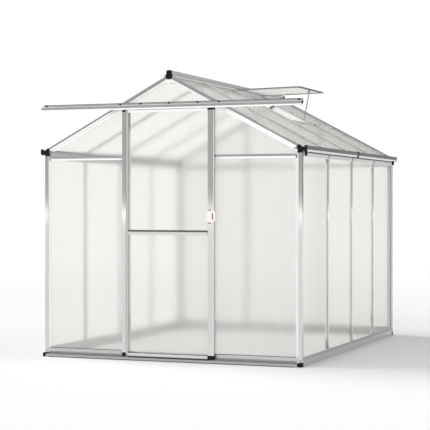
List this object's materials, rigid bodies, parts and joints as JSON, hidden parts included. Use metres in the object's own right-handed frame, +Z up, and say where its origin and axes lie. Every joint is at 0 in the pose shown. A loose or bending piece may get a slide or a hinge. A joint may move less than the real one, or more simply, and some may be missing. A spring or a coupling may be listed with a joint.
{
  "type": "walk-in greenhouse",
  "caption": "Walk-in hobby greenhouse: aluminium bar frame glazed with twin-wall sheet, a gabled roof with a propped vent, eave gutters, and a sliding door hung on rollers in the front gable.",
  "frame": {"origin": "on the ground, at the middle of the bounding box", "axes": "+X to the right seen from the front, +Y from the door's gable to the rear gable, along the ridge, +Z up"},
  "size_m": [1.968, 2.496, 1.983],
  "materials": {
    "mill_aluminium": "satin",
    "twin_wall_sheet": "gloss",
    "black_nylon": "satin",
    "handle_plastic": "satin"
  },
  "bodies": {
    "house": {"sill_left": "mill_aluminium", "eave_beam_left": "mill_aluminium", "gutter_left": "mill_aluminium", "wall_panels_left": "twin_wall_sheet", "wall_stud_left_1": "mill_aluminium", "wall_stud_left_2": "mill_aluminium", "wall_stud_left_3": "mill_aluminium", "roof_panels_left": "twin_wall_sheet", "roof_bar_left_1": "mill_aluminium", "roof_bar_left_2": "mill_aluminium", "roof_bar_left_3": "mill_aluminium", "sill_right": "mill_aluminium", "eave_beam_right": "mill_aluminium", "gutter_right": "mill_aluminium", "wall_panels_right": "twin_wall_sheet", "wall_stud_right_1": "mill_aluminium", "wall_stud_right_2": "mill_aluminium", "wall_stud_right_3": "mill_aluminium", "roof_panels_right": "twin_wall_sheet", "roof_bar_right_1": "mill_aluminium", "roof_bar_right_2": "mill_aluminium", "roof_bar_right_3": "mill_aluminium", "vent_sill": "mill_aluminium", "corner_post_front_left": "mill_aluminium", "gable_rafter_front_left": "mill_aluminium", "corner_post_front_right": "mill_aluminium", "gable_rafter_front_right": "mill_aluminium", "corner_post_rear_left": "mill_aluminium", "gable_rafter_rear_left": "mill_aluminium", "corner_post_rear_right": "mill_aluminium", "gable_rafter_rear_right": "mill_aluminium", "ridge_beam": "mill_aluminium", "sill_front": "mill_aluminium", "door_jamb_left": "mill_aluminium", "front_transom_left": "mill_aluminium", "door_jamb_right": "mill_aluminium", "front_transom_right": "mill_aluminium", "door_head": "mill_aluminium", "gable_panels_front": "twin_wall_sheet", "sill_rear": "mill_aluminium", "rear_stud_left": "mill_aluminium", "rear_stud_right": "mill_aluminium", "rear_brace": "mill_aluminium", "gable_panels_rear": "twin_wall_sheet", "door_rail": "mill_aluminium", "door_track": "mill_aluminium"},
    "door": {"door_stile_left": "mill_aluminium", "door_stile_right": "mill_aluminium", "door_middle_rail": "mill_aluminium", "door_top_rail": "mill_aluminium", "door_bottom_rail": "mill_aluminium", "door_pane_upper": "twin_wall_sheet", "door_pane_lower": "twin_wall_sheet", "door_handle": "handle_plastic"},
    "door_roller_left": {"door_roller_left": "black_nylon"},
    "door_roller_right": {"door_roller_right": "black_nylon"},
    "roof_vent": {"vent_frame": "mill_aluminium", "vent_pane": "twin_wall_sheet", "vent_stay_bracket": "black_nylon"},
    "vent_stay": {"vent_stay": "mill_aluminium"}
  },
  "joints": [
    {"name": "door_slide", "type": "slide", "parent": "house", "child": "door", "axis": [1, 0, 0], "range_m": [-0.6, 0.6]},
    {"name": "door_roller_left_turn", "type": "hinge", "parent": "door", "child": "door_roller_left", "pos_m": [-0.27, -1.2317, 1.7393], "axis": [0, 1, 0], "continuous": true},
    {"name": "door_roller_right_turn", "type": "hinge", "parent": "door", "child": "door_roller_right", "pos_m": [0.27, -1.2317, 1.7393], "axis": [0, 1, 0], "continuous": true},
    {"name": "vent_hinge", "type": "hinge", "parent": "house", "child": "roof_vent", "pos_m": [0.04249, 0.3288, 1.93694], "axis": [0, 1, 0], "range_deg": [0, 29]},
    {"name": "vent_stay_pivot", "type": "hinge", "parent": "roof_vent", "child": "vent_stay", "pos_m": [0.51863, 0.3328, 1.93325], "axis": [0, 1, 0], "range_deg": [0, 78.1]}
  ],
  "couplings": [
    {"joint": "door_roller_left_turn", "follows": "door_slide", "rad_per_m": 125},
    {"joint": "door_roller_right_turn", "follows": "door_slide", "rad_per_m": 125},
    {"joint": "vent_stay_pivot", "follows": "vent_hinge", "ratio": 2.69}
  ]
}
